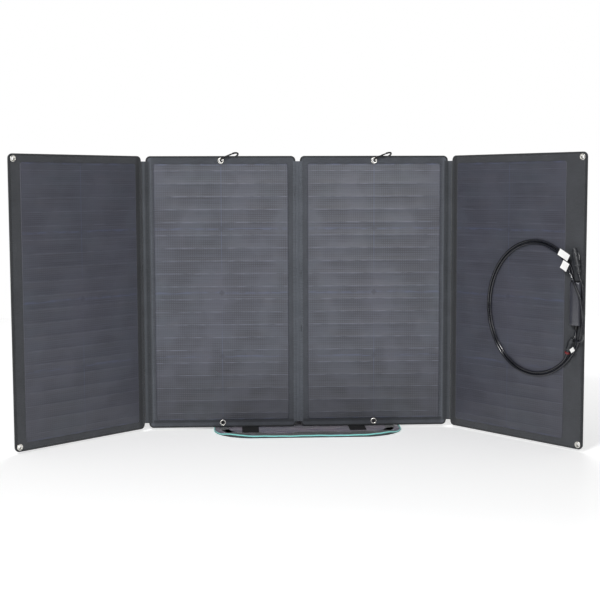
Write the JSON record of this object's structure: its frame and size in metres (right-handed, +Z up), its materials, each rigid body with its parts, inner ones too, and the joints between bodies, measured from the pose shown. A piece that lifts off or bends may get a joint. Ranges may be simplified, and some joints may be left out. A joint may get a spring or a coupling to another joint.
{
  "type": "folding solar blanket",
  "caption": "Folding solar blanket of stiff cloth-covered panels on fabric hinges, standing half open on the carrying case that forms its kickstand, with leads coiled on a wing.",
  "frame": {"origin": "on the floor straight below the centre hinge, on the underside of the case flap that the blanket stands on", "axes": "+X to the right along the middle panels as seen from the lit side, +Y towards the kickstand leaf behind, +Z up"},
  "size_m": [1.3022, 0.5366, 0.6952],
  "materials": {
    "film": "textured embossed film over the cells",
    "border_fabric": "woven, coated",
    "cells": "dark blue black silicon",
    "board": "matte laminate",
    "cover_fabric": "coarse woven, coated",
    "hinge_fabric": "woven, soft fold",
    "ribbon": "tinned copper ribbon",
    "nickel": "bright nickel",
    "black_metal": "black lacquer",
    "webbing": "black nylon webbing",
    "lining": "smooth lining cloth",
    "teal": "teal cord piping",
    "black_plastic": "moulded, satin gloss",
    "gray_plastic": "moulded, glossy",
    "cable": "smooth black jacket",
    "label": "plain white tag"
  },
  "bodies": {
    "left_middle_panel": {"left_middle_film_skin": "film", "left_middle_front_border": "border_fabric", "left_middle_cell_array": "cells", "left_middle_core_board": "board", "left_middle_back_cover": "cover_fabric", "left_middle_grommet_bottom": "nickel", "left_middle_grommet_top": "nickel", "left_carabiner_body": "black_metal", "left_hook_strap": "webbing"},
    "right_middle_panel": {"right_middle_film_skin": "film", "right_middle_front_border": "border_fabric", "right_middle_cell_array": "cells", "right_middle_core_board": "board", "right_middle_back_cover": "cover_fabric", "right_middle_grommet_bottom": "nickel", "right_middle_grommet_top": "nickel", "right_carabiner_body": "black_metal", "right_hook_strap": "webbing", "centre_hinge_web": "hinge_fabric", "centre_bus_ribbon": "ribbon"},
    "left_wing_panel": {"left_wing_film_skin": "film", "left_wing_front_border": "border_fabric", "left_wing_cell_array": "cells", "left_wing_core_board": "board", "left_wing_back_cover": "cover_fabric", "left_wing_grommet_bottom": "nickel", "left_wing_grommet_top": "nickel", "left_hinge_web": "hinge_fabric", "left_bus_ribbon": "ribbon"},
    "right_wing_panel": {"right_wing_film_skin": "film", "right_wing_front_border": "border_fabric", "right_wing_cell_array": "cells", "right_wing_core_board": "board", "right_wing_back_cover": "cover_fabric", "right_wing_grommet_bottom": "nickel", "right_wing_grommet_top": "nickel", "right_hinge_web": "hinge_fabric", "right_bus_ribbon": "ribbon", "junction_box_base": "black_plastic", "junction_box_lid": "gray_plastic", "upper_lead": "cable", "lower_lead": "cable", "upper_connector": "black_plastic", "lower_connector": "black_plastic", "upper_label": "label", "lower_label": "label", "top_label": "label"},
    "case_base": {"base_flap": "cover_fabric", "base_lining": "lining", "base_piping": "teal", "left_strap_pad": "webbing", "right_strap_pad": "webbing"},
    "case_leaf": {"leaf_outer_cover": "cover_fabric", "leaf_stiffener": "lining", "zipper_tape": "teal", "spine_gusset": "cover_fabric"},
    "handle": {"handle_grip": "webbing"},
    "zip_slider": {"zipper_slider": "black_metal"},
    "left_gate": {"left_carabiner_gate": "black_metal"},
    "right_gate": {"right_carabiner_gate": "black_metal"}
  },
  "joints": [
    {"name": "left_wing_fold", "type": "hinge", "parent": "left_middle_panel", "child": "left_wing_panel", "pos_m": [-0.382, -0.0042, 0.345], "axis": [0, 0, 1], "range_deg": [-43.9, 132], "deforming": ["left_hinge_web", "left_bus_ribbon"]},
    {"name": "right_wing_fold", "type": "hinge", "parent": "right_middle_panel", "child": "right_wing_panel", "pos_m": [0.382, -0.0042, 0.345], "axis": [0, 0, -1], "range_deg": [-52.7, 118], "deforming": ["right_hinge_web", "right_bus_ribbon"]},
    {"name": "centre_fold", "type": "hinge", "parent": "left_middle_panel", "child": "right_middle_panel", "pos_m": [0, 0.0044, 0.345], "axis": [0, 0, 1], "range_deg": [0, 170], "deforming": ["centre_hinge_web", "centre_bus_ribbon"]},
    {"name": "case_slide", "type": "slide", "parent": "left_middle_panel", "child": "case_base", "axis": [0, 1, 0], "range_m": [0, 1.4]},
    {"name": "leaf_fold", "type": "hinge", "parent": "case_base", "child": "case_leaf", "pos_m": [0.022, 0.186, 0.003], "axis": [-1, 0, 0], "range_deg": [0, 103], "deforming": ["spine_gusset"]},
    {"name": "handle_swing", "type": "hinge", "parent": "case_leaf", "child": "handle", "pos_m": [0.022, 0.04063, 0.58107], "axis": [1, 0, 0], "range_deg": [0, 150]},
    {"name": "zip_slide", "type": "slide", "parent": "case_leaf", "child": "zip_slider", "axis": [0, -0.2588, 0.9659], "range_m": [0, 0.53]},
    {"name": "left_gate_swing", "type": "hinge", "parent": "left_middle_panel", "child": "left_gate", "pos_m": [-0.18087, -0.00997, 0.6831], "axis": [-0.3395, 0.4226, 0.8403], "range_deg": [0, 12], "stiffness_Nm_per_rad": 0.02},
    {"name": "right_gate_swing", "type": "hinge", "parent": "right_middle_panel", "child": "right_gate", "pos_m": [0.20113, -0.00997, 0.6831], "axis": [-0.3395, 0.4226, 0.8403], "range_deg": [0, 12], "stiffness_Nm_per_rad": 0.02}
  ],
  "couplings": [
    {"joint": "case_slide", "follows": "centre_fold", "m_per_rad": 0.455}
  ]
}
